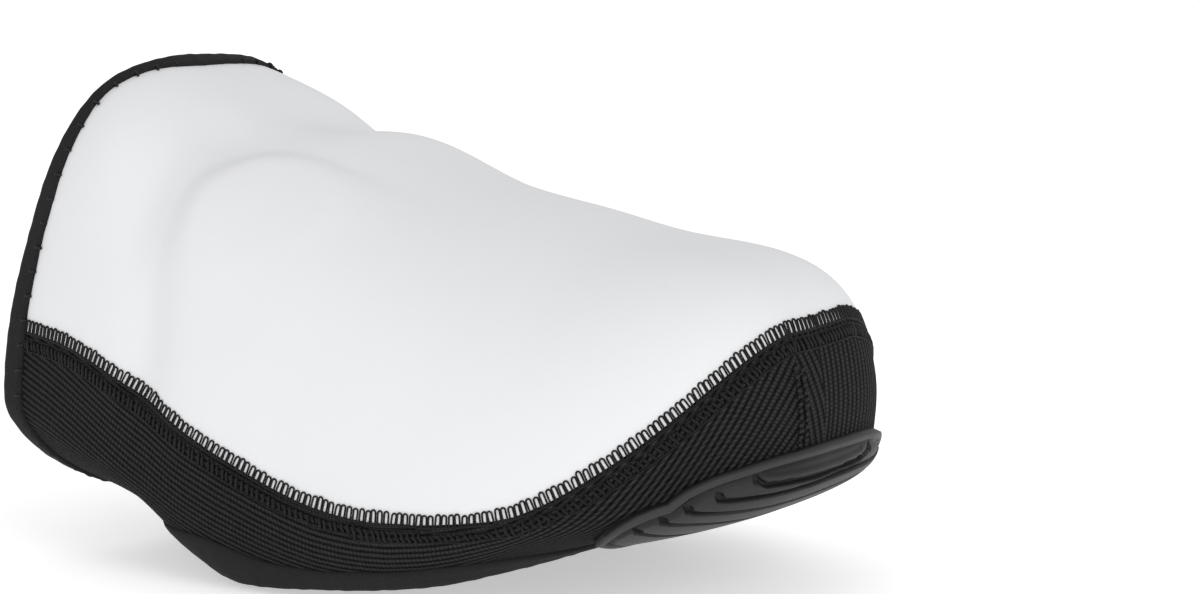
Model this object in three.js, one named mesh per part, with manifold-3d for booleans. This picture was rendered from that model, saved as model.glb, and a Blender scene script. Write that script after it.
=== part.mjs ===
// Toe cover for a right-foot cycling shoe: a smooth insulating upper, a stretch band turned under the sole,
// folded tape round the ankle opening and the cleat opening, and a ribbed rubber pad under the toe.
// Millimetres, +Z up, +X towards the toe, -Y the outer (little toe) side. It stands on its cleat tape.
import * as THREE from "three";
import { mergeVertices } from "three/addons/utils/BufferGeometryUtils.js";
import Module from "manifold-3d";

// ---- Driving dimensions ----
const BALL_X = 78; // widest section, from the ankle opening
const TOE_LENGTH = 82; // from the widest section to the tip of the toe
const OUTER_ROUNDNESS = 2.1; // superellipse exponent of the toe outline on the little-toe side
const INNER_ROUNDNESS = 3; // and on the big-toe side
const TIP_SHIFT = -1.7; // the tip of the toe across from the middle of the ball
const SOLE_SQUARENESS = 5; // superellipse exponents of the turn under the sole
const SOLE_ARCH = 2;
const TOP_LEAN = 20; // the ankle opening leans forward at its top
const STRAP_LEAN = 17.5; // and under the arch
const LEAN_FADE = 1.5; // how fast the lean dies out towards the ball

const UPPER_WALL = 2.5;
const BAND_WALL = 1.8;
const TAPE_WALL = 0.9;
const TAPE_WIDTH = 4.6;
const TAPE_GAP = 0.5; // clear of the walls that the tape folds over

// Cleat opening in the sole, in plan: reach and squareness behind and in front of its middle
const OPENING = { x: 76, y: 9.05, halfWidth: 41.2 };
const OPENING_REAR = { reach: 35, squareness: 3.6 };
const OPENING_FRONT = { reach: 42, squareness: 2.4 };
const REST_HEIGHT = 0.75; // how much of the tape is flattened away where the cover stands on it

const PAD_GAP = 0.4; // clear of the band
const PAD_WALL = 1; // rubber pad: backing sheet, then rim and ribs on it
const RIM_WIDTH = 1.7;
const RIM_HEIGHT = 1.3;
const RIB_WIDTH = 2.8;
const RIB_HEIGHT = 1.2;
const RIB_BOW = 0.12; // the ribs bend less than the outline of the toe does
const RIB_LINES = [1.11, 1.195, 1.28, 1.36, 1.44]; // where the ribs cross the middle, in profile units
const PAD = { start: 0.7, front: 0.945, corner: 1.27, rear: 1.53 }; // edges: share of outline, profile units
const RIM_SINK = 0.6; // rim and ribs start inside the backing sheet

// Half widths of the outline behind the ball, and the middle between them
const OUTLINE = [
  { x: 0, outer: 34, inner: 42, centre: 5.5 },
  { x: 20, outer: 41, inner: 44, centre: 5.8 },
  { x: 40, outer: 46.3, inner: 46.2, centre: 7 },
  { x: 60, outer: 49.5, inner: 48, centre: 9 },
  { x: 78, outer: 50.4, inner: 48.5, centre: 10.2 },
  { x: 96, outer: 49.5, inner: 48, centre: 9.4 }, // only sets the slope at the ball
];

// Heights along the length: top line, widest line, underside and seam between upper and band.
// shoulder and arch are the superellipse exponents of the section above the widest line.
const PROFILE = [
  { x: 0, crown: 102, shoulder: 3.2, arch: 4.2, wide: 31.5, sole: 18, seam: 47.5 },
  { x: 20, crown: 95.5, shoulder: 2.9, arch: 3.5, wide: 27.5, sole: 12.5, seam: 46 },
  { x: 40, crown: 87.5, shoulder: 2.7, arch: 2.9, wide: 23.5, sole: 6, seam: 39.5 },
  { x: 60, crown: 82, shoulder: 2.55, arch: 2.5, wide: 20, sole: -0.8, seam: 30.5 },
  { x: 80, crown: 76, shoulder: 2.45, arch: 2.2, wide: 19, sole: -2, seam: 23.5 },
  { x: 100, crown: 72, shoulder: 2.4, arch: 2.15, wide: 20, sole: 0.8, seam: 22 },
  { x: 120, crown: 70.5, shoulder: 2.4, arch: 2.2, wide: 22.5, sole: 10.5, seam: 25 },
  { x: 140, crown: 75.5, shoulder: 2.45, arch: 2.45, wide: 25.5, sole: 14, seam: 37.5 },
  { x: 160, crown: 85, shoulder: 2.5, arch: 2.9, wide: 29, sole: 17.5, seam: 56.5 },
];

// Moulded-in swells and dents of the upper: centre (x, w of the profile), reach along and around, height
const SWELLS = [
  { x: 61, w: -0.42, along: 17, around: 0.17, height: 1.8 }, // instep swell, outer side
  { x: 44, w: -0.47, along: 6, around: 0.22, height: -1.5 }, // valley behind it
  { x: 56, w: -0.2, along: 12, around: 0.09, height: -1.1 }, // valley over it
  { x: 33, w: -0.42, along: 9, around: 0.2, height: 0.9 }, // fullness by the ankle opening
  { x: 46, w: 0.1, along: 8, around: 0.22, height: 1.5 }, // knuckle on the crown
  { x: 64, w: 0.1, along: 10, around: 0.22, height: -1 }, // dip in front of it
  { x: 61, w: 0.45, along: 17, around: 0.17, height: 1.4 }, // instep swell, inner side
];

// ---- The form ----
// A point on the cover is (k, w): k runs along the outline from the ankle opening (0) to the tip of the
// toe (1). w runs round the section: 0 on the crown, -1 and +1 on the widest line of the outer and the
// inner side, -2 and +2 on the middle line of the underside.

// Cubic through a table's rows, with the slope at a row taken from its neighbours.
function smooth(rows, column, x) {
  const last = rows.length - 1;
  const at = Math.min(Math.max(x, rows[0].x), rows[last].x);
  let i = 0;
  while (i < last - 1 && at > rows[i + 1].x) i += 1;
  const slope = (j) => {
    const before = rows[Math.max(j - 1, 0)];
    const after = rows[Math.min(j + 1, last)];
    return (after[column] - before[column]) / (after.x - before.x);
  };
  const span = rows[i + 1].x - rows[i].x;
  const s = (at - rows[i].x) / span;
  const rise = rows[i + 1][column] - rows[i][column];
  const ease = s * s * (3 - 2 * s);
  const bend = slope(i) * (s - 2 * s * s + s ** 3) + slope(i + 1) * (s ** 3 - s * s);
  return rows[i][column] + rise * ease + span * bend;
}

// Angle on a superellipse arc, spaced so that points do not bunch at its ends.
function evenAngle(share, low, high) {
  const s = Math.min(Math.max(share, 0), 1);
  const up = s ** (low / 2);
  return ((up / (up + (1 - s) ** (high / 2))) * Math.PI) / 2;
}

const BALL = {
  outer: smooth(OUTLINE, "outer", BALL_X),
  inner: smooth(OUTLINE, "inner", BALL_X),
  centre: smooth(OUTLINE, "centre", BALL_X),
};
const REAR_SHARE = BALL_X / (BALL_X + 1.25 * TOE_LENGTH);

// Widest point at k on one side (-1 outer, +1 inner), and the middle that its section is drawn towards.
function outlinePoint(k, side) {
  const column = side < 0 ? "outer" : "inner";
  if (k <= REAR_SHARE) {
    const x = (BALL_X * k) / REAR_SHARE;
    const centre = smooth(OUTLINE, "centre", x);
    return { x, y: centre + side * smooth(OUTLINE, column, x), midX: x, midY: centre };
  }
  const roundness = side < 0 ? OUTER_ROUNDNESS : INNER_ROUNDNESS;
  const share = (k - REAR_SHARE) / (1 - REAR_SHARE);
  const angle = evenAngle(share, roundness, roundness);
  const forward = Math.sin(angle) ** (2 / roundness);
  const across = share >= 1 ? 0 : Math.cos(angle) ** (2 / roundness);
  const x = BALL_X + TOE_LENGTH * forward;
  const y = BALL.centre + TIP_SHIFT * forward ** 2 + side * BALL[column] * across;
  return { x, y, midX: BALL_X, midY: BALL.centre };
}

function swell(x, w) {
  let height = 0;
  for (const s of SWELLS) {
    height += s.height * Math.exp(-(((x - s.x) / s.along) ** 2) - ((w - s.w) / s.around) ** 2);
  }
  return height;
}

function surface(k, w) {
  if (k > 1) return surface(2 - k, -w);
  if (w > 2) return surface(k, w - 4);
  if (w < -2) return surface(k, w + 4);
  const { x, y, midX, midY } = outlinePoint(Math.max(k, 0), w < 0 ? -1 : 1);
  const below = Math.abs(w) > 1;
  const share = below ? Math.abs(w) - 1 : 1 - Math.abs(w);
  const shoulder = below ? SOLE_SQUARENESS : smooth(PROFILE, "shoulder", x);
  const arch = below ? SOLE_ARCH : smooth(PROFILE, "arch", x);
  const angle = evenAngle(share, arch, shoulder);
  const out = share >= 1 ? 0 : Math.cos(angle) ** (2 / shoulder);
  const rise = Math.sin(angle) ** (2 / arch);
  const flatX = midX + (x - midX) * out;
  const flatY = midY + (y - midY) * out;
  const lean = Math.max(0, 1 - flatX / BALL_X) ** LEAN_FADE * (below ? STRAP_LEAN : TOP_LEAN);
  const wide = smooth(PROFILE, "wide", x);
  const end = smooth(PROFILE, below ? "sole" : "crown", flatX + lean);
  const point = new THREE.Vector3(flatX + lean * rise ** 2, flatY, wide + (end - wide) * rise);
  const push = below ? 0 : swell(point.x, w);
  point.y += push * Math.sign(flatY - midY) * out;
  point.z += push * rise;
  return point;
}

const NUDGE = 1e-3;

function slopes(k, w) {
  const back = Math.max(k - NUDGE, 0);
  const alongK = surface(k + NUDGE, w).sub(surface(back, w)).divideScalar(k + NUDGE - back);
  const alongW = surface(k, w + NUDGE).sub(surface(k, w - NUDGE)).divideScalar(2 * NUDGE);
  return { alongK, alongW };
}

function outward(k, w) {
  const { alongK, alongW } = slopes(k, w);
  return alongK.cross(alongW).normalize();
}

// A point off the surface: height is measured along the outward normal.
function offSurface(spot, height) {
  return surface(spot.k, spot.w).addScaledVector(outward(spot.k, spot.w), height);
}

// Walks over the surface from a spot in a direction and gives the spot where it ends.
function walk(spot, direction, distance) {
  const STEPS = 4;
  let { k, w } = spot;
  const heading = direction.clone();
  for (let i = 0; i < STEPS; i += 1) {
    const { alongK, alongW } = slopes(k, w);
    const normal = alongK.clone().cross(alongW).normalize();
    heading.addScaledVector(normal, -heading.dot(normal)).normalize();
    const step = heading.clone().multiplyScalar(distance / STEPS);
    const kk = alongK.dot(alongK);
    const kw = alongK.dot(alongW);
    const ww = alongW.dot(alongW);
    const scale = kk * ww - kw * kw;
    const stepK = (ww * step.dot(alongK) - kw * step.dot(alongW)) / scale;
    const stepW = (kk * step.dot(alongW) - kw * step.dot(alongK)) / scale;
    k += stepK;
    w += stepW;
  }
  return { k, w };
}

// The value in [low, high] where test turns from true to false.
function turningPoint(low, high, test) {
  let yes = low;
  let no = high;
  for (let i = 0; i < 30; i += 1) {
    const middle = (yes + no) / 2;
    if (test(middle)) yes = middle;
    else no = middle;
  }
  return (yes + no) / 2;
}

function seamW(k, side) {
  const height = smooth(PROFILE, "seam", outlinePoint(k, side).x);
  return side * turningPoint(0.4, 1.6, (w) => surface(k, side * w).z > height);
}

// The outline of the cleat opening in plan, one point for each share of a turn.
function openingOutline(share) {
  const turn = share * 2 * Math.PI;
  const end = Math.cos(turn) < 0 ? OPENING_REAR : OPENING_FRONT;
  const power = 2 / end.squareness;
  const along = Math.sign(Math.cos(turn)) * Math.abs(Math.cos(turn)) ** power;
  const across = Math.sign(Math.sin(turn)) * Math.abs(Math.sin(turn)) ** power;
  return { x: OPENING.x + end.reach * along, y: OPENING.y + OPENING.halfWidth * across };
}

// Moves a spot on the underside until it lies under a point of the plan.
function spotUnder(start, target) {
  let { k, w } = start;
  for (let i = 0; i < 12; i += 1) {
    const at = surface(k, w);
    const { alongK, alongW } = slopes(k, w);
    const x = target.x - at.x;
    const y = target.y - at.y;
    const scale = alongK.x * alongW.y - alongK.y * alongW.x;
    k += (x * alongW.y - y * alongW.x) / scale;
    w += (y * alongK.x - x * alongK.y) / scale;
  }
  return { k, w };
}

// ---- Solids ----
function geometryOf(points, triangles) {
  const geometry = new THREE.BufferGeometry().setFromPoints(points);
  geometry.setIndex(triangles.flat());
  const merged = mergeVertices(geometry, 1e-3);
  const index = merged.index.array;
  const kept = [];
  for (let i = 0; i < index.length; i += 3) {
    const [a, b, c] = [index[i], index[i + 1], index[i + 2]];
    if (a !== b && b !== c && c !== a) kept.push(a, b, c);
  }
  merged.setIndex(kept);
  return merged;
}

// Triangles of a grid of points in rows, numbered from first; closed joins the last row to the first.
function gridTriangles(rows, columns, first = 0, closed = false) {
  const triangles = [];
  const at = (r, c) => first + (r % rows) * columns + c;
  for (let r = 0; r < (closed ? rows : rows - 1); r += 1) {
    for (let c = 0; c < columns - 1; c += 1) {
      triangles.push([at(r, c), at(r + 1, c), at(r + 1, c + 1)]);
      triangles.push([at(r, c), at(r + 1, c + 1), at(r, c + 1)]);
    }
  }
  return triangles;
}

// A curved sheet over one or more grids of spots; the grids join where their edges coincide.
function sheet(grids, height = 0) {
  const points = [];
  const triangles = [];
  for (const rows of grids) {
    triangles.push(...gridTriangles(rows.length, rows[0].length, points.length));
    points.push(...rows.flat().map((spot) => (height ? offSurface(spot, height) : surface(spot.k, spot.w))));
  }
  return geometryOf(points, triangles);
}

// Gives a sheet its wall, inwards from its outer face, with the edges closed.
function thicken(outer, wall) {
  outer.computeVertexNormals();
  const count = outer.attributes.position.count;
  const points = [];
  for (let i = 0; i < count; i += 1) {
    points.push(new THREE.Vector3().fromBufferAttribute(outer.attributes.position, i));
  }
  for (let i = 0; i < count; i += 1) {
    const normal = new THREE.Vector3().fromBufferAttribute(outer.attributes.normal, i);
    points.push(points[i].clone().addScaledVector(normal, -wall));
  }
  const index = outer.index.array;
  const triangles = [];
  const edges = new Set();
  for (let i = 0; i < index.length; i += 3) {
    const [a, b, c] = [index[i], index[i + 1], index[i + 2]];
    triangles.push([a, b, c], [a + count, c + count, b + count]);
    for (const [from, to] of [[a, b], [b, c], [c, a]]) edges.add(`${from} ${to}`);
  }
  for (const edge of edges) {
    const [from, to] = edge.split(" ").map(Number);
    if (edges.has(`${to} ${from}`)) continue;
    triangles.push([to, from, from + count], [to, from + count, to + count]);
  }
  return geometryOf(points, triangles);
}

// A closed ring swept through rows of section points; every row has the same corners in the same order.
function ring(rows) {
  const wrapped = rows.map((row) => [...row, row[0]]);
  return geometryOf(wrapped.flat(), gridTriangles(rows.length, wrapped[0].length, 0, true));
}

// A bar with capped ends swept through rows of four corners.
function bar(rows) {
  const wrapped = rows.map((row) => [...row, row[0]]);
  const columns = wrapped[0].length;
  const last = (rows.length - 1) * columns;
  const triangles = gridTriangles(rows.length, columns);
  triangles.push([0, 1, 2], [0, 2, 3], [last, last + 2, last + 1], [last, last + 3, last + 2]);
  return geometryOf(wrapped.flat(), triangles);
}

const wasm = await Module();
wasm.setup();

function solidOf(geometry) {
  const vertProperties = geometry.attributes.position.array;
  const triVerts = new Uint32Array(geometry.index.array);
  return new wasm.Manifold(new wasm.Mesh({ numProp: 3, vertProperties, triVerts }));
}

function welded(geometry) {
  const bare = geometry.clone();
  bare.deleteAttribute("normal");
  bare.deleteAttribute("uv");
  return mergeVertices(bare, 1e-3);
}

// A solid after cutting or joining, as a geometry.
function combined(start, work) {
  const mesh = work(solidOf(start)).getMesh();
  const geometry = new THREE.BufferGeometry();
  geometry.setAttribute("position", new THREE.BufferAttribute(new Float32Array(mesh.vertProperties), 3));
  geometry.setIndex(new THREE.BufferAttribute(new Uint32Array(mesh.triVerts), 1));
  return geometry;
}

// ---- Pieces ----
const SIDES = [-1, 1];

function spread(from, to, count, ease = (s) => s) {
  return Array.from({ length: count + 1 }, (_, i) => from + (to - from) * ease(i / count));
}

const BAND_STATIONS = spread(0, 1, 30);
const UPPER_ROWS = 12;
const BAND_ROWS = 17;
const CLEAT_STATIONS = 56;
const CUTTER_REACH = 17; // above and below the ball, through the sole only
const SEAM_GAP = 0.004; // half the gap between upper and band, in profile units

// At the tip of the toe and on the middle line under the arch both sides share one line of spots.
function shared(k, w) {
  return { k, w: k >= 1 || Math.abs(w) >= 2 ? -Math.abs(w) : w };
}

function upperShell() {
  const rows = spread(0, 1, 28).map((k) => {
    const start = seamW(k, -1) + SEAM_GAP;
    const end = seamW(k, 1) - SEAM_GAP;
    const ws = [...spread(start, 0, UPPER_ROWS), ...spread(0, end, UPPER_ROWS).slice(1)];
    return ws.map((w) => shared(k, w));
  });
  return thicken(sheet([rows]), UPPER_WALL);
}

function bandRow(k, side) {
  const ws = spread(2 * side, seamW(k, side) + side * SEAM_GAP, BAND_ROWS);
  return (side < 0 ? ws : ws.reverse()).map((w) => shared(k, w));
}

function sideBand() {
  const grids = SIDES.map((side) => BAND_STATIONS.map((k) => bandRow(k, side)));
  const hole = new THREE.Shape(spread(0, 1, 2 * CLEAT_STATIONS).slice(1).map(openingOutline));
  const cutter = new THREE.ExtrudeGeometry(hole, { depth: 2 * CUTTER_REACH, bevelEnabled: false });
  cutter.translate(0, 0, -CUTTER_REACH);
  return combined(thicken(sheet(grids), BAND_WALL), (band) => band.subtract(solidOf(welded(cutter))));
}

// Folded tape: a channel over the edge of a wall, outer leg, fold and inner leg.
function tapeSection(spot, inward, wall) {
  const gap = TAPE_GAP;
  const outerFace = gap + TAPE_WALL;
  const innerFace = -wall - gap;
  const middle = walk(spot, inward, TAPE_WIDTH / 2);
  const tip = walk(spot, inward, TAPE_WIDTH);
  const beyond = (height, distance) => offSurface(spot, height).addScaledVector(inward, -distance);
  return [
    offSurface(tip, outerFace),
    offSurface(middle, outerFace),
    offSurface(spot, outerFace),
    beyond(outerFace / 3, outerFace),
    beyond(innerFace + gap - outerFace / 3, outerFace),
    offSurface(spot, innerFace - TAPE_WALL),
    offSurface(middle, innerFace - TAPE_WALL),
    offSurface(tip, innerFace - TAPE_WALL),
    offSurface(tip, innerFace),
    offSurface(middle, innerFace),
    beyond(innerFace, gap),
    beyond(gap, gap),
    offSurface(middle, gap),
    offSurface(tip, gap),
  ];
}

// Directions over the surface, square to a closed line of spots and away from a centre.
function squareTo(spots, centre) {
  return spots.map((spot, i) => {
    const before = spots[(i + spots.length - 1) % spots.length];
    const after = spots[(i + 1) % spots.length];
    const tangent = surface(after.k, after.w).sub(surface(before.k, before.w));
    const across = outward(spot.k, spot.w).cross(tangent).normalize();
    const sign = Math.sign(across.dot(surface(spot.k, spot.w).sub(centre)));
    return across.multiplyScalar(sign);
  });
}

function openingBinding() {
  const outerBand = bandRow(0, -1).slice(0, -1);
  const innerBand = bandRow(0, 1).slice(1, -1);
  const top = spread(seamW(0, -1), seamW(0, 1), 2 * UPPER_ROWS);
  const spots = [...outerBand, ...top.map((w) => ({ k: 0, w })), ...innerBand];
  const behind = new THREE.Vector3(-BALL_X, 0, 0);
  const inwards = squareTo(spots, behind);
  return ring(spots.map((spot, i) => tapeSection(spot, inwards[i], UPPER_WALL)));
}

function cleatBinding() {
  let spot = { k: REAR_SHARE, w: -1.35 };
  const spots = spread(0.75, 1.75, CLEAT_STATIONS).slice(1).map((share) => {
    spot = spotUnder(spot, openingOutline(share % 1));
    return spot;
  });
  const centre = new THREE.Vector3(OPENING.x, OPENING.y, 0);
  const outwards = squareTo(spots, centre);
  const rows = spots.map((at, i) => tapeSection(at, outwards[i], BAND_WALL));
  const floor = REST_HEIGHT + Math.min(...rows.flat().map((point) => point.z));
  for (const point of rows.flat()) point.z = Math.max(point.z, floor);
  return ring(rows.reverse());
}

// How far k lies from the tip of the toe, 1 at the pad's rear corners.
function padShare(k) {
  return Math.min((1 - k) / (1 - PAD.start), 1);
}

// Upper edge of the pad at k: it climbs from the turn of the sole to the front of the toe.
function padTopW(k) {
  return PAD.front + (PAD.corner - PAD.front) * padShare(k) ** 4;
}

function padRearW(k) {
  return PAD.rear - (PAD.rear - PAD.corner) * padShare(k) ** 5;
}

// A strip over the surface along a path of spots, from the pad's backing sheet out to a height.
function strip(path, width, height, closed) {
  const rows = path.map((spot, i) => {
    const last = path.length - 1;
    const before = path[closed ? (i + last) % path.length : Math.max(i - 1, 0)];
    const after = path[closed ? (i + 1) % path.length : Math.min(i + 1, last)];
    const tangent = surface(after.k, after.w).sub(surface(before.k, before.w));
    const across = outward(spot.k, spot.w).cross(tangent).normalize();
    const near = walk(spot, across, -width / 2);
    const far = walk(spot, across, width / 2);
    const foot = PAD_GAP + PAD_WALL - RIM_SINK;
    const top = PAD_GAP + PAD_WALL + height;
    return [offSurface(near, foot), offSurface(near, top), offSurface(far, top), offSurface(far, foot)];
  });
  return closed ? ring(rows) : bar(rows);
}

// Both halves of a line that is given from the outer side to the tip of the toe.
function mirrored(ks, wAt) {
  const outer = ks.map((k) => ({ k, w: -wAt(k) }));
  const inner = ks.slice(0, -1).map((k) => ({ k, w: wAt(k) }));
  return [...outer, ...inner.reverse()];
}

function toePad() {
  const ks = spread(PAD.start, 1, 11);
  const grids = SIDES.map((side) =>
    ks.map((k) => {
      const ws = spread(padRearW(k), padTopW(k), 6);
      return (side < 0 ? ws : ws.reverse()).map((w) => shared(k, side * w));
    }),
  );
  const backing = thicken(sheet(grids, PAD_GAP + PAD_WALL), PAD_WALL);
  const inset = 0.035;
  const edge = mirrored(ks.slice(1), (k) => padTopW(k) + inset);
  const rear = mirrored(ks.slice(1), (k) => padRearW(k) - inset);
  const rim = strip([...edge, ...rear.reverse()], RIM_WIDTH, RIM_HEIGHT, true);
  const ribs = RIB_LINES.map((line) => {
    const ribW = (k) => line - RIB_BOW * padShare(k) ** 2;
    const start = turningPoint(1, PAD.start, (k) => ribW(k) > padTopW(k) + inset);
    return strip(mirrored(spread(start, 1, 7), ribW), RIB_WIDTH, RIB_HEIGHT, false);
  });
  return combined(backing, (pad) => [rim, ...ribs].reduce((whole, piece) => whole.add(solidOf(piece)), pad));
}

// ---- Assembly ----
const MATERIALS = {
  upper: { color: 0xe9ebee, roughness: 0.55, metalness: 0 },
  band: { color: 0x1c1c1e, roughness: 0.95, metalness: 0 },
  tape: { color: 0x232326, roughness: 0.85, metalness: 0 },
  rubber: { color: 0x38383a, roughness: 0.6, metalness: 0 },
};

const cover = new THREE.Group();

function place(name, geometry, material) {
  const mesh = new THREE.Mesh(geometry, new THREE.MeshStandardMaterial(MATERIALS[material]));
  mesh.name = name;
  cover.add(mesh);
}

place("upper_shell", upperShell(), "upper");
place("side_band", sideBand(), "band");
place("opening_binding", openingBinding(), "tape");
place("cleat_binding", cleatBinding(), "tape");
place("toe_pad", toePad(), "rubber");

// The origin is the middle of the cover's box, on the surface that it stands on.
const box = new THREE.Box3().setFromObject(cover);
const middle = box.getCenter(new THREE.Vector3());
cover.position.set(-middle.x, -middle.y, -box.min.z);

export default cover;
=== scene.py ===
import math

import bmesh
import bpy
import numpy as np
from mathutils import Matrix, Vector
from mathutils.kdtree import KDTree


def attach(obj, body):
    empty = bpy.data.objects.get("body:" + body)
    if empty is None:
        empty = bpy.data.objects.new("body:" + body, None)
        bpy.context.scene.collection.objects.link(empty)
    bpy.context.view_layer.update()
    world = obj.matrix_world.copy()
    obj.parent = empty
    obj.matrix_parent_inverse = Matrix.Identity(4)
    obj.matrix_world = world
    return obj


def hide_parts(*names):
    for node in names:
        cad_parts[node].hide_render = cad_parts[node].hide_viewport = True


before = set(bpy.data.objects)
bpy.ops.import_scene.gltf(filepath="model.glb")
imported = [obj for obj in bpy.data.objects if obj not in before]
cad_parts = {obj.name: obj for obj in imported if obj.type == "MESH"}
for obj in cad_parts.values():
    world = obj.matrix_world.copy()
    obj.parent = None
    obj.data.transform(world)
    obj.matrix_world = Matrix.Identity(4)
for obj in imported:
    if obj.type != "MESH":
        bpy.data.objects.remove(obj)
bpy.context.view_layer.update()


def columns(names, *rows):
    """A table with named columns."""
    return dict(zip(names.split(), np.array(rows, dtype=float).T))


# ---- Sizes of the form ----
BALL_X = 78.0  # from the ankle opening to the ball of the foot, where the outline is widest
TOE_LENGTH = 82.6  # from there to the tip
OUTER_ROUNDNESS = 2.1  # powers of the superellipses that the toe follows in plan
INNER_ROUNDNESS = 3.0
TIP_SHIFT = -1.7  # sideways
SOLE_SQUARENESS = 5.0  # powers of the section below its widest line: at its side, and at its side by the toe
TOE_SQUARENESS = 4.0
SOLE_ARCH = 2.0  # and at its middle
TOE_TUCK = 0.016  # how much the section draws in at the toe, as a share
TOP_LEAN = 20.0  # how far the ankle opening leans forward to its crown, and to the strap under the foot
STRAP_LEAN = 17.5
LEAN_FADE = 1.5
STANDS_AT = np.array([-80.632, -9.103, -2.038])  # from the form's own origin to the middle of the cover

UPPER_WALL = 2.5
BAND_WALL = 1.8
OPENING = {"x": 76.0, "y": 9.05, "outer": 42.55, "inner": 41.2}
OPENING_REAR = {"reach": 35.0, "squareness": 3.6}
OPENING_FRONT = {"reach": 42.5, "squareness": 3.0}

# Half widths in plan on either side of a centre line
OUTLINE = columns(
    "x outer inner centre",
    (0, 34, 42, 5.5),
    (20, 41, 44, 5.8),
    (40, 46.3, 46.2, 7),
    (60, 49.5, 48, 9),
    (78, 50.4, 48.5, 10.2),
    (96, 49.5, 48, 9.4),
)
# Heights of the crown, widest line, sole and seam, and the section's powers at its shoulder and its crown
PROFILE = columns(
    "x crown shoulder arch wide sole seam",
    (0, 102, 3.2, 4.2, 31.5, 15.6, 47.5),
    (20, 95.5, 2.9, 3.5, 27.5, 14.4, 46),
    (40, 87.5, 2.7, 2.9, 23.5, 11.8, 39.5),
    (50, 84.6, 2.62, 2.7, 21.6, 2.8, 34.8),
    (60, 82, 2.55, 2.5, 20, -1.8, 30.5),
    (80, 76, 2.45, 2.2, 19, -0.5, 23.5),
    (100, 72, 2.4, 2.15, 20, 3.4, 22),
    (120, 70.5, 2.4, 2.2, 22.5, 12, 25),
    (140, 75.5, 2.45, 2.45, 25.5, 15.2, 37.5),
    (160, 85, 2.5, 2.9, 29, 18.6, 56.5),
)
# Swells and dents of the upper, by x and the section's w, with their reach along and around
SWELLS = columns(
    "x w along around height",
    (8, -0.5, 22, 0.22, 0.9),
    (6, 0.3, 20, 0.3, -3.6),
    (3, -0.66, 12, 0.12, -1.2),
    (3, -0.98, 12, 0.14, 1.0),
    (24, -0.44, 9, 0.14, 2.0),
    (35.5, -0.5, 5, 0.12, -1.9),
    (43, -0.3, 7, 0.09, -1.6),
    (41, -0.74, 6, 0.14, -1.8),
    (48, 0.24, 7.5, 0.32, -3.8),
    (80, 0.28, 16, 0.3, -1.0),
    (61, 0.5, 17, 0.17, 1.4),
    (152, 0, 13, 0.9, 0.6),
)
# The instep swell on the outer side has a crisp rim above and behind it, and fades out ahead and below
INSTEP = {
    "x": 65.0,
    "w": -0.52,
    "along": 20.5,
    "around": 0.26,
    "height": 3.0,
    "crisp": 0.2,
    "rim_turn": 135.0,
}
EDGE_K = 0.0072  # the fabric's edge under the ankle tape


# ---- The form: a point is (k, w). k runs along the outline from the ankle opening (0) to the toe (1) and
# back along the other side (2). w runs round the section: 0 on the crown, 1 on the widest line, 2 on the
# middle of the sole, and minus on the outer side.
def smooth(rows, column, x, base="x"):
    """A column of a table at x, on a smooth curve through its rows."""
    xs, ys = rows[base], rows[column]
    slope = np.empty_like(ys)
    slope[1:-1] = (ys[2:] - ys[:-2]) / (xs[2:] - xs[:-2])
    slope[0] = (ys[1] - ys[0]) / (xs[1] - xs[0])
    slope[-1] = (ys[-1] - ys[-2]) / (xs[-1] - xs[-2])
    at = np.clip(x, xs[0], xs[-1])
    i = np.clip(np.searchsorted(xs, at) - 1, 0, len(xs) - 2)
    span = xs[i + 1] - xs[i]
    s = (at - xs[i]) / span
    bend = slope[i] * (s - 2 * s * s + s**3) + slope[i + 1] * (s**3 - s * s)
    return ys[i] + (ys[i + 1] - ys[i]) * s * s * (3 - 2 * s) + span * bend


def ease(x, low, high):
    """0 up to low, 1 from high, and a smooth rise between."""
    s = np.clip((x - low) / (high - low), 0, 1)
    return s * s * (3 - 2 * s)


def even_angle(share, low, high):
    """Angle on a quarter of a superellipse that keeps evenly shared points evenly spaced."""
    s = np.clip(share, 0, 1)
    up = s ** (low / 2)
    return up / (up + (1 - s) ** (high / 2)) * math.pi / 2


BALL = {name: float(smooth(OUTLINE, name, BALL_X)) for name in ("outer", "inner", "centre")}
# Share of k that lies behind the ball: round the toe, k runs a little faster
REAR_SHARE = BALL_X / (BALL_X + 1.25 * TOE_LENGTH)


def outline_point(k, side):
    """Spot on the outline in plan, and the middle that the section there is drawn round."""
    x_rear = BALL_X * np.minimum(k, REAR_SHARE) / REAR_SHARE
    centre = smooth(OUTLINE, "centre", x_rear)
    half = np.where(side < 0, smooth(OUTLINE, "outer", x_rear), smooth(OUTLINE, "inner", x_rear))
    roundness = np.where(side < 0, OUTER_ROUNDNESS, INNER_ROUNDNESS)
    share = np.clip((k - REAR_SHARE) / (1 - REAR_SHARE), 0, 1)
    angle = even_angle(share, roundness, roundness)
    forward = np.sin(angle) ** (2 / roundness)
    across = np.where(share >= 1, 0, np.abs(np.cos(angle)) ** (2 / roundness))
    ball_half = np.where(side < 0, BALL["outer"], BALL["inner"])
    rear = k <= REAR_SHARE
    x = np.where(rear, x_rear, BALL_X + TOE_LENGTH * forward)
    toe_y = BALL["centre"] + TIP_SHIFT * forward**2 + side * ball_half * across
    y = np.where(rear, centre + side * half, toe_y)
    return x, y, np.where(rear, x_rear, BALL_X), np.where(rear, centre, BALL["centre"])


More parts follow.
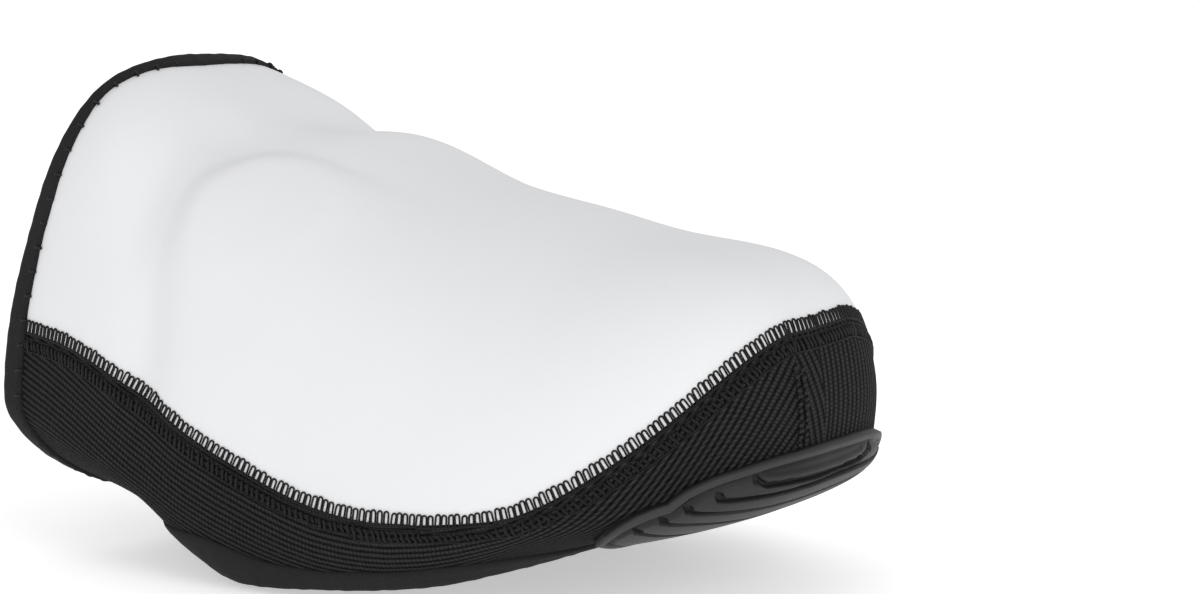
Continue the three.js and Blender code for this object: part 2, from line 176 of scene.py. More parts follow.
def instep_swell(x, w):
    """Height of the instep swell, whose edge is crisp towards its rim and soft elsewhere."""
    u, v = (x - INSTEP["x"]) / INSTEP["along"], (w - INSTEP["w"]) / INSTEP["around"]
    away = np.degrees(np.arctan2(v, u)) - INSTEP["rim_turn"]
    away = np.abs((away + 180) % 360 - 180)
    soft = INSTEP["crisp"] + (1 - INSTEP["crisp"]) * ease(away, 45, 120)
    return INSTEP["height"] * (1 - ease(np.hypot(u, v), 1 - soft, 1 + soft))


def surface(k, w):
    """Points of the outer face, in millimetres from the form's own origin."""
    k, w = np.broadcast_arrays(np.asarray(k, float), np.asarray(w, float))
    # Past the toe's tip the same section is met again from the other side
    k, w = np.where(k > 1, 2 - k, k), np.where(k > 1, -w, w)
    w = np.where(w > 2, w - 4, np.where(w < -2, w + 4, w))
    x, y, mid_x, mid_y = outline_point(np.maximum(k, 0), np.where(w < 0, -1.0, 1.0))
    # The section: a quarter superellipse above the widest line and another below, on either side
    below = np.abs(w) > 1
    share = np.where(below, np.abs(w) - 1, 1 - np.abs(w))
    squareness = SOLE_SQUARENESS + (TOE_SQUARENESS - SOLE_SQUARENESS) * ease(x, 125, 158)
    shoulder = np.where(below, squareness, smooth(PROFILE, "shoulder", x))
    arch = np.where(below, SOLE_ARCH, smooth(PROFILE, "arch", x))
    angle = even_angle(share, arch, shoulder)
    out = np.where(share >= 1, 0, np.abs(np.cos(angle)) ** (2 / shoulder))
    out = out * (1 - TOE_TUCK * ease(x, 130, 158) * ease(np.abs(w), 0.84, 1.04))
    rise = np.sin(angle) ** (2 / arch)
    flat_x = mid_x + (x - mid_x) * out
    flat_y = mid_y + (y - mid_y) * out
    lean = np.maximum(0, 1 - flat_x / BALL_X) ** LEAN_FADE * np.where(below, STRAP_LEAN, TOP_LEAN)
    wide = smooth(PROFILE, "wide", x)
    top, sole = smooth(PROFILE, "crown", flat_x + lean), smooth(PROFILE, "sole", flat_x + lean)
    px = flat_x + lean * rise**2
    # Swells and dents push it out and up, and fade out below
    push = np.zeros_like(px)
    for sx, sw, along, around, height in zip(*SWELLS.values()):
        push += height * np.exp(-(((px - sx) / along) ** 2) - ((w - sw) / around) ** 2)
    push = (push + instep_swell(px, w)) * (1 - ease(np.abs(w), 1.15, 1.5))
    py = flat_y + push * np.sign(flat_y - mid_y) * out
    pz = wide + (np.where(below, sole, top) - wide) * rise + push * np.where(below, -rise, rise)
    return np.stack([px, py, pz], axis=-1)


NUDGE = 1e-3


def unit(v):
    return v / np.maximum(np.linalg.norm(v, axis=-1, keepdims=True), 1e-12)


def slopes(k, w):
    """How the surface's points move with k and with w."""
    back = np.maximum(k - NUDGE, 0)
    along_k = (surface(k + NUDGE, w) - surface(back, w)) / (k + NUDGE - back)[..., None]
    along_w = (surface(k, w + NUDGE) - surface(k, w - NUDGE)) / (2 * NUDGE)
    return along_k, along_w


def outward(k, w):
    """Direction square to the surface, away from the foot."""
    return unit(np.cross(*slopes(k, w)))


def dot(a, b):
    return (a * b).sum(-1)


def walk(k, w, heading, distance, steps=4):
    """Walks over the surface from a spot in a direction, and gives the spot where it ends."""
    for _ in range(steps):
        along_k, along_w = slopes(k, w)
        normal = unit(np.cross(along_k, along_w))
        heading = unit(heading - normal * dot(heading, normal)[..., None])
        step = heading * (np.asarray(distance) / steps)[..., None]
        kk, kw, ww = dot(along_k, along_k), dot(along_k, along_w), dot(along_w, along_w)
        scale = kk * ww - kw * kw
        sk, sw = dot(step, along_k), dot(step, along_w)
        k, w = k + (ww * sk - kw * sw) / scale, w + (kk * sw - kw * sk) / scale
    return k, w


def seam_w(k, side):
    """The section's w at the top of the seam's stitches."""
    height = smooth(PROFILE, "seam", outline_point(k, np.full_like(k, side))[0])
    low, high = np.full_like(k, 0.4), np.full_like(k, 1.6)
    for _ in range(30):
        middle = (low + high) / 2
        above = surface(k, side * middle)[..., 2] > height
        low, high = np.where(above, middle, low), np.where(above, high, middle)
    return side * (low + high) / 2


def lengths(points, axis=0):
    """Distance run along an axis of a grid of points, from its start."""
    steps = np.linalg.norm(np.diff(points, axis=axis), axis=-1)
    start = np.zeros_like(np.take(steps, [0], axis=axis))
    return np.concatenate([start, np.cumsum(steps, axis=axis)], axis=axis)


# ---- Meshes ----
def grid_faces(rows, cols, first=0, closed=False):
    """Quads between the points of a grid. closed joins its last row to its first."""
    r = np.arange(rows if closed else rows - 1)[:, None]
    c = np.arange(cols - 1)[None, :]
    after = (r + 1) % rows
    quads = [r * cols + c, after * cols + c, after * cols + c + 1, r * cols + c + 1]
    return (np.stack(np.broadcast_arrays(*quads), axis=-1) + first).reshape(-1, 4)


def made(name, points, faces, uv=None, facts=None, merge=None):
    """A mesh object from points in millimetres. uv is per point; facts are named values per point."""
    mesh = bpy.data.meshes.new(name)
    mesh.from_pydata(((points + STANDS_AT) * 0.001).tolist(), [], [list(map(int, f)) for f in faces])
    if uv is not None:
        corners = np.empty(len(mesh.loops), dtype=np.int32)
        mesh.loops.foreach_get("vertex_index", corners)
        layer = mesh.uv_layers.new(name="thread_way")
        layer.data.foreach_set("uv", np.ascontiguousarray(uv[corners], dtype=np.float32).ravel())
    for fact, values in (facts or {}).items():
        held = mesh.attributes.new(fact, "FLOAT", "POINT")
        held.data.foreach_set("value", np.ascontiguousarray(values, dtype=np.float32))
    thing = bpy.data.objects.new(name, mesh)
    bpy.context.scene.collection.objects.link(thing)
    if merge:
        bm = bmesh.new()
        bm.from_mesh(mesh)
        bmesh.ops.remove_doubles(bm, verts=bm.verts, dist=merge * 0.001)
        bmesh.ops.dissolve_degenerate(bm, edges=bm.edges, dist=1e-7)
        bm.to_mesh(mesh)
        bm.free()
    mesh.polygons.foreach_set("use_smooth", np.full(len(mesh.polygons), True))
    mesh.update()
    return thing


def only(thing):
    """Selects this object alone."""
    for other in bpy.context.selected_objects:
        other.select_set(False)
    thing.select_set(True)
    bpy.context.view_layer.objects.active = thing


def face_out(thing):
    """Turns the faces of a closed mesh outwards."""
    only(thing)
    bpy.ops.object.mode_set(mode="EDIT")
    bpy.ops.mesh.select_all(action="SELECT")
    bpy.ops.mesh.normals_make_consistent(inside=False)
    bpy.ops.object.mode_set(mode="OBJECT")


def thicken(sheet, wall, outer, inner):
    """Gives a sheet its wall, inwards from its outer face, with a finish for each face."""
    sheet.data.materials.append(outer)
    sheet.data.materials.append(inner)
    only(sheet)
    solidify = sheet.modifiers.new("Wall", "SOLIDIFY")
    solidify.thickness = wall * 0.001
    solidify.offset = -1
    solidify.material_offset = 1
    solidify.use_even_offset = False
    bpy.ops.object.modifier_apply(modifier=solidify.name)


class Strands:
    """Gathers many tubes with closed ends in one mesh, each with its own UV along and round it."""

    def __init__(self):
        self.points, self.faces, self.uv, self.count = [], [], [], 0

    def add(self, paths, normals, radius, sides=6):
        """paths and normals are (strands, points, 3); radius is one number or one for each point."""
        strands, rows = paths.shape[:2]
        tangent = unit(np.gradient(paths, axis=1))
        across = unit(np.cross(tangent, normals))
        rise = np.cross(across, tangent)
        angle = (np.arange(sides) * 2 * math.pi / sides)[:, None]
        ring = np.cos(angle) * across[:, :, None] + np.sin(angle) * rise[:, :, None]
        tubes = paths[:, :, None] + ring * np.broadcast_to(radius, (strands, rows))[..., None, None]
        wrap = np.arange(sides)
        after = (wrap + 1) % sides
        row = np.arange(rows - 1)[:, None] * sides
        quads = np.stack([row + wrap, row + after, row + sides + after, row + sides + wrap], axis=-1)
        quads = quads.reshape(-1, 4)
        last = (rows - 1) * sides
        for strand in range(strands):
            here = self.count + strand * rows * sides
            self.faces.extend((quads + here).tolist())
            self.faces.append((here + wrap[::-1]).tolist())
            self.faces.append((here + last + wrap).tolist())
        run = np.broadcast_to(lengths(paths, axis=1)[:, :, None], tubes.shape[:3])
        around = np.broadcast_to(np.abs(wrap / sides - 0.5) * 2, tubes.shape[:3])
        self.uv.append(np.stack([run, around], axis=-1).reshape(-1, 2))
        self.points.append(tubes.reshape(-1, 3))
        self.count += strands * rows * sides

    def made(self, name, finish):
        thing = made(name, np.concatenate(self.points), self.faces, np.concatenate(self.uv))
        face_out(thing)
        thing.data.materials.append(finish)
        return thing


# ---- Finishes ----
class Value:
    """A socket that Python's operators work on."""

    def __init__(self, finish, socket):
        self.finish, self.socket = finish, socket

    def maths(self, operation, *others):
        return self.finish.maths(operation, self, *others)

    def __add__(self, other):
        return self.maths("ADD", other)

    __radd__ = __add__

    def __sub__(self, other):
        return self.maths("SUBTRACT", other)

    def __rsub__(self, other):
        return self.finish.maths("SUBTRACT", other, self)

    def __mul__(self, other):
        return self.maths("MULTIPLY", other)

    __rmul__ = __mul__

    def __pow__(self, other):
        return self.maths("POWER", other)


class Finish:
    """A material in the making: each method adds nodes and gives back their value."""

    def __init__(self, name):
        self.material = bpy.data.materials.new(name)
        self.material.use_nodes = True
        self.tree = self.material.node_tree
        self.tree.nodes.clear()

    def feed(self, socket, value):
        if isinstance(value, Value):
            self.tree.links.new(value.socket, socket)
        else:
            socket.default_value = value

    def node(self, kind, settings=None, sockets=None, output=0):
        node = self.tree.nodes.new(kind)
        for name, value in (settings or {}).items():
            setattr(node, name, value)
        for name, value in (sockets or {}).items():
            self.feed(node.inputs[name], value)
        return Value(self, node.outputs[output])

    def maths(self, operation, *values):
        return self.node("ShaderNodeMath", {"operation": operation}, dict(enumerate(values)))

    def mix(self, factor, low, high):
        """Colour low where factor is 0, high where it is 1."""
        return self.node("ShaderNodeMix", {"data_type": "RGBA"}, {0: factor, 6: low, 7: high}, output=2)

    def wave(self, turns):
        """1 at whole turns, 0 half way between them."""
        return self.maths("COSINE", turns * (2 * math.pi)) * 0.5 + 0.5

    def noise(self, scale, detail=2.0, roughness=0.5):
        place = self.node("ShaderNodeTexCoord", output="Object")
        return self.node(
            "ShaderNodeTexNoise",
            {},
            {"Vector": place, "Scale": scale, "Detail": detail, "Roughness": roughness},
        )

    def bump(self, height, distance, below=None):
        sockets = {"Height": height, "Distance": distance, "Strength": 1.0}
        if below is not None:
            sockets["Normal"] = below
        return self.node("ShaderNodeBump", {}, sockets)

    def fact(self, name):
        """A value that the mesh carries per point."""
        return self.node("ShaderNodeAttribute", {"attribute_name": name}, output="Fac")

    def thread_way(self):
        """Distance along and across the threads, in millimetres."""
        uv = self.node("ShaderNodeUVMap", {"uv_map": "thread_way"})
        split = self.tree.nodes.new("ShaderNodeSeparateXYZ")
        self.tree.links.new(uv.socket, split.inputs[0])
        return Value(self, split.outputs[0]), Value(self, split.outputs[1])

    def shader(self, **sockets):
        node = self.tree.nodes.new("ShaderNodeBsdfPrincipled")
        for name, value in sockets.items():
            self.feed(node.inputs[name.replace("_", " ")], value)
        out = self.tree.nodes.new("ShaderNodeOutputMaterial")
        self.tree.links.new(node.outputs[0], out.inputs[0])
        return self.material


def grey(value, tint=1.0):
    return (value, value, value * tint, 1.0)


def white_laminate():
    f = Finish("white_laminate")
    cloudy = f.noise(14.0, 3.0)
    scuffs = f.noise(60.0, 4.0, 0.6)
    colour = f.mix(cloudy, (0.78, 0.785, 0.8, 1), (0.825, 0.83, 0.842, 1))
    colour = f.mix(f.maths("GREATER_THAN", scuffs, 0.74) * 0.08, colour, grey(0.6))
    ripple = f.noise(38.0, 2.0)
    grain = f.noise(2600.0, 2.0, 0.6)
    normal = f.bump(ripple, 0.0006)
    normal = f.bump(grain, 0.00003, normal)
    return f.shader(
        Base_Color=colour,
        Roughness=cloudy * 0.12 + 0.42,
        Specular_IOR_Level=0.35,
        Normal=normal,
        Sheen_Weight=0.05,
        Sheen_Roughness=0.4,
    )


def dark_fleece():
    f = Finish("dark_fleece")
    pile = f.noise(900.0, 3.0, 0.7)
    lint = f.noise(180.0, 2.0)
    colour = f.mix(pile * 0.7 + lint * 0.3, grey(0.012), grey(0.045, 1.03))
    return f.shader(
        Base_Color=colour,
        Roughness=0.95,
        Specular_IOR_Level=0.1,
        Normal=f.bump(pile, 0.0004),
        Sheen_Weight=0.3,
        Sheen_Roughness=0.5,
    )


# Pitches of the knit, the tape's weave and the twist of the threads
RIB_PITCH = 1.2
STITCH_PITCH = 0.78
WEFT_PITCH = 0.42
WARP_PITCH = 0.55
TWIST_PITCH = 0.5


def rib_knit():
    f = Finish("rib_knit")
    along, across = f.thread_way()
    wander = f.noise(90.0, 2.0) - 0.5
    # Ribs of stitches, each rib a little ahead of the last, with a split down its middle
    rib_turn = across * (1 / RIB_PITCH) + wander * 0.3
    rib = f.wave(rib_turn)
    stagger = f.maths("FLOOR", rib_turn + 0.5) * 0.37
    stitch = f.wave(along * (1 / STITCH_PITCH) + stagger)
    split = f.wave(rib_turn * 2.0)
    yarn = f.noise(1700.0, 2.0, 0.6)
    patch = f.noise(45.0, 2.0)
    height = (rib**0.6) * (stitch * 0.4 + 0.6) + yarn * 0.3 - split * 0.12
    # Painted light and shade: the loops' tops are painted lighter and the grooves between the ribs darker,
    # following the knit's relief, with random yarn and patch tone on top
    loop = (rib**0.8) * (stitch * 0.55 + 0.45)
    light = (loop * 0.85 + yarn * 0.5 - 0.22) * (patch * 0.5 + 0.75)
    colour = f.mix(light, grey(0.0014), grey(0.043, 1.03))
    return f.shader(
        Base_Color=colour,
        Roughness=0.88,
        Specular_IOR_Level=0.08,
        Normal=f.bump(height, 0.0003),
    )


def charcoal_tape():
    f = Finish("charcoal_tape")
    along, across = f.thread_way()
    weft = f.wave(along * (1 / WEFT_PITCH))
    warp = f.wave(across * (1 / WARP_PITCH))
    fuzz = f.noise(1500.0, 3.0, 0.65)
    patch = f.noise(70.0, 3.0)
    colour = f.mix(fuzz * 0.6 + patch * 0.4, grey(0.0095, 1.02), grey(0.023, 1.04))
    height = weft * 0.35 + warp * 0.25 + fuzz * 0.4
    normal = f.bump(patch, 0.0003)
    return f.shader(
        Base_Color=colour,
        Roughness=patch * 0.15 + 0.72,
        Specular_IOR_Level=0.12,
        Normal=f.bump(height, 0.00007, normal),
    )


def thread(name, dark, light):
    f = Finish(name)
    along, across = f.thread_way()
    twist = f.wave(along * (1 / TWIST_PITCH) + across)
    fuzz = f.noise(2200.0, 2.0)
    # Painted highlight and shade: the twist's plies are painted lighter and the grooves between them darker,
    # with random fuzz
    colour = f.mix(twist * 0.6 + fuzz * 0.5, grey(dark), grey(light, 1.04))
    return f.shader(
        Base_Color=colour,
        Roughness=0.6,
        Specular_IOR_Level=0.18,
        Normal=f.bump(twist + fuzz * 0.4, 0.00006),
    )


def grey_rubber():
    f = Finish("grey_rubber")
    painted_shade_by_height = f.fact("painted_shade_by_height")
    fine = f.noise(2400.0, 2.0, 0.6)
    blotch = f.noise(90.0, 3.0)
    dust = f.noise(420.0, 3.0, 0.7)
    # Painted shade: the pad is painted near black in its grooves, lighter on the ribs and lightest on the
    # rim, by height
    colour = f.mix(painted_shade_by_height, grey(0.0025), grey(0.027, 1.03))
    colour = f.mix(dust * blotch * painted_shade_by_height * 0.4, colour, grey(0.065, 1.02))
    normal = f.bump(blotch, 0.00012)
    return f.shader(
        Base_Color=colour,
        Roughness=blotch * 0.2 + 0.42,
        Specular_IOR_Level=0.32,
        Normal=f.bump(fine, 0.00003, normal),
    )


def pale_floor():
    f = Finish("pale_floor")
    tone = f.noise(1.2, 2.0)
    colour = f.mix(tone, grey(0.9), grey(0.92))
    return f.shader(
        Base_Color=colour,
        Roughness=0.9,
        Specular_IOR_Level=0.0,
        Emission_Color=colour,
        Emission_Strength=0.5,
    )


WHITE = white_laminate()
FLEECE = dark_fleece()
KNIT = rib_knit()
TAPE = charcoal_tape()
BLACK_THREAD = thread("black_thread", 0.002, 0.017)
GREY_THREAD = thread("charcoal_thread", 0.006, 0.03)
RUBBER = grey_rubber()


# ---- The seam between upper and band: one line from the outer rear, round the toe, to the inner rear ----
SEAM_DROP = 2.3  # from the top of the stitches down to where upper and band meet
LOOP_PITCH = 1.28
LOOP_REACH = SEAM_DROP + 0.3

half_ks = np.linspace(0, 1, 1200)
outer_w, inner_w = seam_w(half_ks, -1), seam_w(half_ks, 1)
line_k = np.concatenate([half_ks, 2 - half_ks[-2::-1]])
line_w = np.concatenate([outer_w, -inner_w[-2::-1]])
line_run = lengths(surface(line_k, line_w))
SEAM_LENGTH = line_run[-1]


def seam_spot(run):
    """The seam's k and w at distances along it."""
    return np.interp(run, line_run, line_k), np.interp(run, line_run, line_w)


def seam_down(run):
    """Direction down over the surface, square to the seam, at distances along it."""
    step = 0.4
    behind, ahead = (surface(*seam_spot(np.clip(run + s, 0, SEAM_LENGTH))) for s in (-step, step))
    return unit(np.cross(unit(ahead - behind), outward(*seam_spot(run))))


def below_seam(run, down, height):
    """Points at distances along the seam, below it over the surface, and above the surface."""
    k, w = walk(*seam_spot(run), seam_down(run), down)
    return surface(k, w) + outward(k, w) * np.asarray(height)[..., None]


def joint_w(k, side):
    """The section's w where upper and band meet, below the top of the stitches."""
    line, nudge = seam_w(k, side), side * 0.02
    step = surface(k, line + nudge) - surface(k, line)
    return line + nudge * SEAM_DROP / np.linalg.norm(step, axis=-1)


# ---- Upper ----
def upper_fabric():
    ks = np.linspace(EDGE_K, 1, 190)
    left, right = joint_w(ks, -1), joint_w(ks, 1)
    crown = 70
    share = np.linspace(0, 1, crown + 1)
    ws = np.concatenate([left[:, None] * (1 - share), right[:, None] * share[1:]], axis=1)
    points = surface(ks[:, None], ws)
    points[-1, crown + 1 :] = points[-1, crown - 1 :: -1]  # at the tip both sides are one line
    piece = made("upper_fabric", points.reshape(-1, 3), grid_faces(*ws.shape), merge=0.001)
    thicken(piece, UPPER_WALL, WHITE, FLEECE)
    return piece


# ---- Band ----
BAND_SEAM_Y = 1.5  # where the band's two ends are sewn together at the toe


def opening_edge(share):
    """Plan of the cleat opening's edge, by share of a turn from its front end."""
    turn = share * 2 * math.pi
    rear = np.cos(turn) < 0
    reach = np.where(rear, OPENING_REAR["reach"], OPENING_FRONT["reach"])
    power = 2 / np.where(rear, OPENING_REAR["squareness"], OPENING_FRONT["squareness"])
    along = np.sign(np.cos(turn)) * np.abs(np.cos(turn)) ** power
    across = np.sign(np.sin(turn)) * np.abs(np.sin(turn)) ** power
    half_width = np.where(across < 0, OPENING["outer"], OPENING["inner"])
    return np.stack([OPENING["x"] + reach * along, OPENING["y"] + half_width * across], axis=-1)


def inside_opening(x, y):
    rear = x < OPENING["x"]
    reach = np.where(rear, OPENING_REAR["reach"], OPENING_FRONT["reach"])
    squareness = np.where(rear, OPENING_REAR["squareness"], OPENING_FRONT["squareness"])
    half_width = np.where(y < OPENING["y"], OPENING["outer"], OPENING["inner"])
    along, across = np.abs(x - OPENING["x"]) / reach, np.abs(y - OPENING["y"]) / half_width
    return along**squareness + across**squareness < 1


BAND_KS = np.linspace(EDGE_K, 1, 220)
PAST_BALL = 150  # the station from which the outer side of the outline only runs inwards
toe_y = outline_point(BAND_KS[PAST_BALL:], -1.0)[1]
TOE_SEAM_AT = PAST_BALL + int(np.searchsorted(toe_y, BAND_SEAM_Y))
TOE_SEAM_K = float(BAND_KS[TOE_SEAM_AT])
KNIT_STRETCH = 0.4  # how much wider the ribs lie apart at the toe
UNDERSIDE_Z = 16.0  # the cleat opening is cut from what lies below this


def band_part(ks, side, turns):
    """One length of the band on one side: its points, and the distances along and across its ribs. turns
    are the angles between ribs and seam at the rear, half way and at the toe."""
    share = np.linspace(0, 1, 71)
    top = joint_w(ks, side)
    ws = top[:, None] + (2 * side - top[:, None]) * share
    points = surface(ks[:, None], ws)
    down = lengths(points, axis=1)
    way = lengths(surface(half_ks, outer_w if side < 0 else inner_w))
    run = lengths(points[:, :1], axis=0) + np.interp(ks[0], half_ks, way)
    # The ribs turn behind the opening, and again over the front half, where the toe also spreads them
    toe = ease(run, way[-1] * 0.5, way[-1] * 0.93)
    rear, middle, end = np.radians(turns)
    turn = middle + (rear - middle) * (1 - ease(run, 15, 60)) + (end - middle) * toe
    stretch = 1 + KNIT_STRETCH * toe
    steps = np.diff(run[:, 0], prepend=run[0, 0])
    drift = np.cumsum(np.sin(turn[:, 0]) / stretch[:, 0] * steps)[:, None]
    across = down * np.cos(turn) / stretch + drift
    along = lengths(points, axis=0) * np.cos(turn) - down * np.sin(turn)
    if side < 0:
        points, along, across = (a[:, ::-1] for a in (points, along, across))
    return points, np.stack([along, across], axis=-1)


def band_fabric():
    # The outer side as far as the seam at the toe, the rest of it, and the inner side
    parts = [
        band_part(BAND_KS[: TOE_SEAM_AT + 1], -1, (-14, 2, 38)),
        band_part(BAND_KS[TOE_SEAM_AT:], -1, (0, 0, -72)),
        band_part(BAND_KS, 1, (-14, 0, -86)),
    ]
    points = np.concatenate([part.reshape(-1, 3) for part, _ in parts])
    uv = np.concatenate([part.reshape(-1, 2) for _, part in parts])
    faces, count = [], 0
    for part, _ in parts:
        rows, cols = part.shape[:2]
        faces.append(grid_faces(rows, cols, count))
        count += rows * cols
    faces = np.concatenate(faces)
    x, y, z = points[faces].mean(axis=1).T
    faces = faces[~(inside_opening(x, y) & (z < UNDERSIDE_Z))]
    piece = made("band_fabric", points, faces, uv, merge=0.001)
    only(piece)
    bpy.ops.object.mode_set(mode="EDIT")
    bpy.ops.mesh.select_all(action="SELECT")
    bpy.ops.mesh.delete_loose()
    bpy.ops.object.mode_set(mode="OBJECT")
    thicken(piece, BAND_WALL, KNIT, FLEECE)
    return piece


# ---- Tape ----
# Section of the folded tape: distance in from the edge of the fabric, and height above its outer face
TAPE_SECTION = columns(
    "reach height",
    (4.7, -0.25),
    (4.75, 0.2),
    (4.55, 0.55),
    (4.1, 0.72),
    (3.2, 0.78),
    (2.2, 0.84),
    (1.2, 0.9),
    (0.3, 0.92),
    (-0.5, 0.72),
    (-1.05, 0.2),
    (-1.3, -0.6),
)
# How wide the ankle tape's outer half is sewn round the opening, as a share of the section above
ANKLE_WIDTH = columns(
    "w share",
    (-2, 0.9),
    (-1.2, 0.98),
    (-0.95, 1),
    (-0.7, 0.84),
    (-0.5, 0.56),
    (-0.38, 0.37),
    (-0.27, 0.35),
    (-0.16, 0.54),
    (-0.06, 0.7),
    (0.05, 0.73),
    (0.3, 0.72),
    (0.8, 0.9),
    (1.3, 0.95),
    (2, 0.9),
)
# Width of the cleat tape's outer half along the outer side: it lies flatter up the side at the rear corner
CLEAT_WIDTH = columns(
    "x width",
    (38, 6),
    (42, 9.5),
    (48, 12),
    (54, 11.8),
    (60, 10),
    (66, 7.6),
    (72, 5.8),
    (80, 4.8),
    (92, 4.9),
    (104, 6),
    (114, 6.2),
    (122, 4.8),
)


def tape_section(wall):
    """The outer half of the section, its fold, and the same again inside."""
    reach, height = TAPE_SECTION["reach"], TAPE_SECTION["height"]
    return np.concatenate([reach, reach[::-1]]), np.concatenate([height, -wall - height[::-1]])


def swept_tape(name, k, w, inward, wall, width=1.0, floor=None):
    """Folded tape over the edge of a wall along a closed line of spots. width widens it from the fold on,
    and nothing hangs below the floor. Its edge wanders, and it puckers between the stitches."""
    points = surface(k, w)
    count = len(k)
    run = lengths(points)
    whole = run[-1] + np.linalg.norm(points[0] - points[-1])

    def ripple(waves, start=0.0):
        return np.sin(run * 2 * math.pi * waves / whole + start)

    # A whole number of puckers and of slower waves fits round the opening
    pucker = 0.05 * ripple(round(whole / 5.1)) + 0.03 * ripple(round(whole / 3.3), 1.0)
    wander = 0.16 * ripple(7) + 0.1 * ripple(19, 2.0)
    rows = []
    for reach, height in zip(*tape_section(wall)):
        # 0 on the tape's face, 1 at its sewn edge
        edge = np.clip((reach - 3.6) / 1.2, 0, 1)
        distance = np.maximum(reach, 0) * width + edge * (wander + pucker * 0.8)
        sk, sw = walk(k, w, inward, distance * np.ones(count))
        lift = height + (pucker * 0.7 if height > 0.3 else 0) * (1 - edge)
        place = surface(sk, sw) + outward(sk, sw) * (lift * np.ones(count))[:, None]
        if reach < 0:
            place = place + inward * reach
        rows.append(place)
    grid = np.stack(rows, axis=1)
    if floor is not None:
        grid[..., 2] = np.maximum(grid[..., 2], floor)
    grid = np.concatenate([grid, grid[:, :1]], axis=1)
    around = lengths(grid, axis=1)
    uv = np.stack(np.broadcast_arrays(run[:, None], around), axis=-1)
    piece = made(
        name,
        grid.reshape(-1, 3),
        grid_faces(count, grid.shape[1], closed=True),
        uv.reshape(-1, 2),
        merge=0.0005,
    )
    face_out(piece)
    piece.data.materials.append(TAPE)
    return piece


def square_to(k, w, centre):
    """Directions over the surface, square to a closed line of spots and away from a centre."""
    points = surface(k, w)
    tangent = np.roll(points, -1, axis=0) - np.roll(points, 1, axis=0)
    across = unit(np.cross(outward(k, w), tangent))
    return across * np.sign(dot(across, points - centre))[:, None]


def ankle_line(gap=0.7):
    """Evenly spaced spots round the fabric's edge at the ankle opening."""
    w = np.linspace(-2, 2, 8001)
    run = lengths(surface(np.full_like(w, EDGE_K), w))
    at = np.linspace(0, run[-1], int(run[-1] / gap) + 1)[:-1]
    return np.full_like(at, EDGE_K), np.interp(at, run, w)


def cleat_line(stations=560):
    """Spots on the underside that lie under the edge of the cleat opening."""
    ks, ws = np.meshgrid(np.linspace(0.02, 1, 140), np.linspace(1.0, 2.0, 90), indexing="ij")
    k_all = np.concatenate([ks.ravel(), ks.ravel()])
    w_all = np.concatenate([-ws.ravel(), ws.ravel()])
    plan = surface(k_all, w_all)
    tree = KDTree(len(plan))
    for i, point in enumerate(plan):
        tree.insert((point[0], point[1], 0), i)
    tree.balance()
    fine = np.linspace(0, 1, 12001)
    run = lengths(opening_edge(fine))
    share = np.interp(np.linspace(0, run[-1], stations + 1)[:-1], run, fine)
    target = opening_edge(share)
    near = [tree.find((x, y, 0))[1] for x, y in target]
    k, w = k_all[near], w_all[near]
    # From the nearest spot of the grid, home in on the one that lies under the edge
    for _ in range(10):
        at = surface(k, w)
        along_k, along_w = slopes(k, w)
        dx, dy = target[:, 0] - at[:, 0], target[:, 1] - at[:, 1]
        scale = along_k[:, 0] * along_w[:, 1] - along_k[:, 1] * along_w[:, 0]
        k = k + (dx * along_w[:, 1] - dy * along_w[:, 0]) / scale
        w = w + (dy * along_k[:, 0] - dx * along_k[:, 1]) / scale
    at = surface(k, w)
    near = np.linalg.norm(at[:, :2] - target, axis=1) < 0.05
    found = np.flatnonzero(near & (at[:, 2] < 25))
    # Where that strays, the nearest spot that was found stands in
    stand_in = found[np.abs(np.arange(len(k))[:, None] - found).argmin(axis=1)]
    return k[stand_in], w[stand_in]


# A spot behind the ankle opening and the middle of the cleat opening: the fabric lies away from them
BEHIND_ANKLE = np.array([-BALL_X, 0, 0])
CLEAT_MIDDLE = np.array([OPENING["x"], OPENING["y"], 0])


def ankle_tape():
    k, w = ankle_line()
    width = smooth(ANKLE_WIDTH, "share", w, "w")
    return swept_tape("ankle_tape", k, w, square_to(k, w, BEHIND_ANKLE), UPPER_WALL, width=width)


def cleat_tape():
    k, w = cleat_line()
    x, y, _ = surface(k, w).T
    share = smooth(CLEAT_WIDTH, "width", x) / TAPE_SECTION["reach"][0]
    width = 1 + ease(-y, 0, 22) * (share - 1)
    inward = square_to(k, w, CLEAT_MIDDLE)
    return swept_tape("cleat_tape", k, w, inward, BAND_WALL, width=width, floor=-STANDS_AT[2])


# ---- Rubber toe pad ----
PAD_START = 0.711  # k at the pad's outer end, and as far back on the inner side
# Its top edge, and the w of its rear edge at the tip and at its ends
PAD_TOP = columns(
    "k w",
    (0.711, 1.235),
    (0.721, 1.145),
    (0.744, 1.05),
    (0.778, 0.988),
    (0.814, 0.961),
    (0.854, 0.95),
    (0.9, 0.942),
    (0.956, 0.939),
    (1, 0.938),
)
PAD_REAR = {"middle": 1.55, "end": 1.31}
PAD_FOOT = 0.1  # heights over the knit: at the edge, in the grooves, on the ribs and on the rim
PAD_FLOOR = 0.35
RIB_TOP = 1.45
RIM_TOP = 1.6
RIM_WIDTH = 1.75
GROOVE_WIDTH = 0.95
GROOVE_TIP = 12  # steps of a groove's line from its end to the middle of its rounded tip
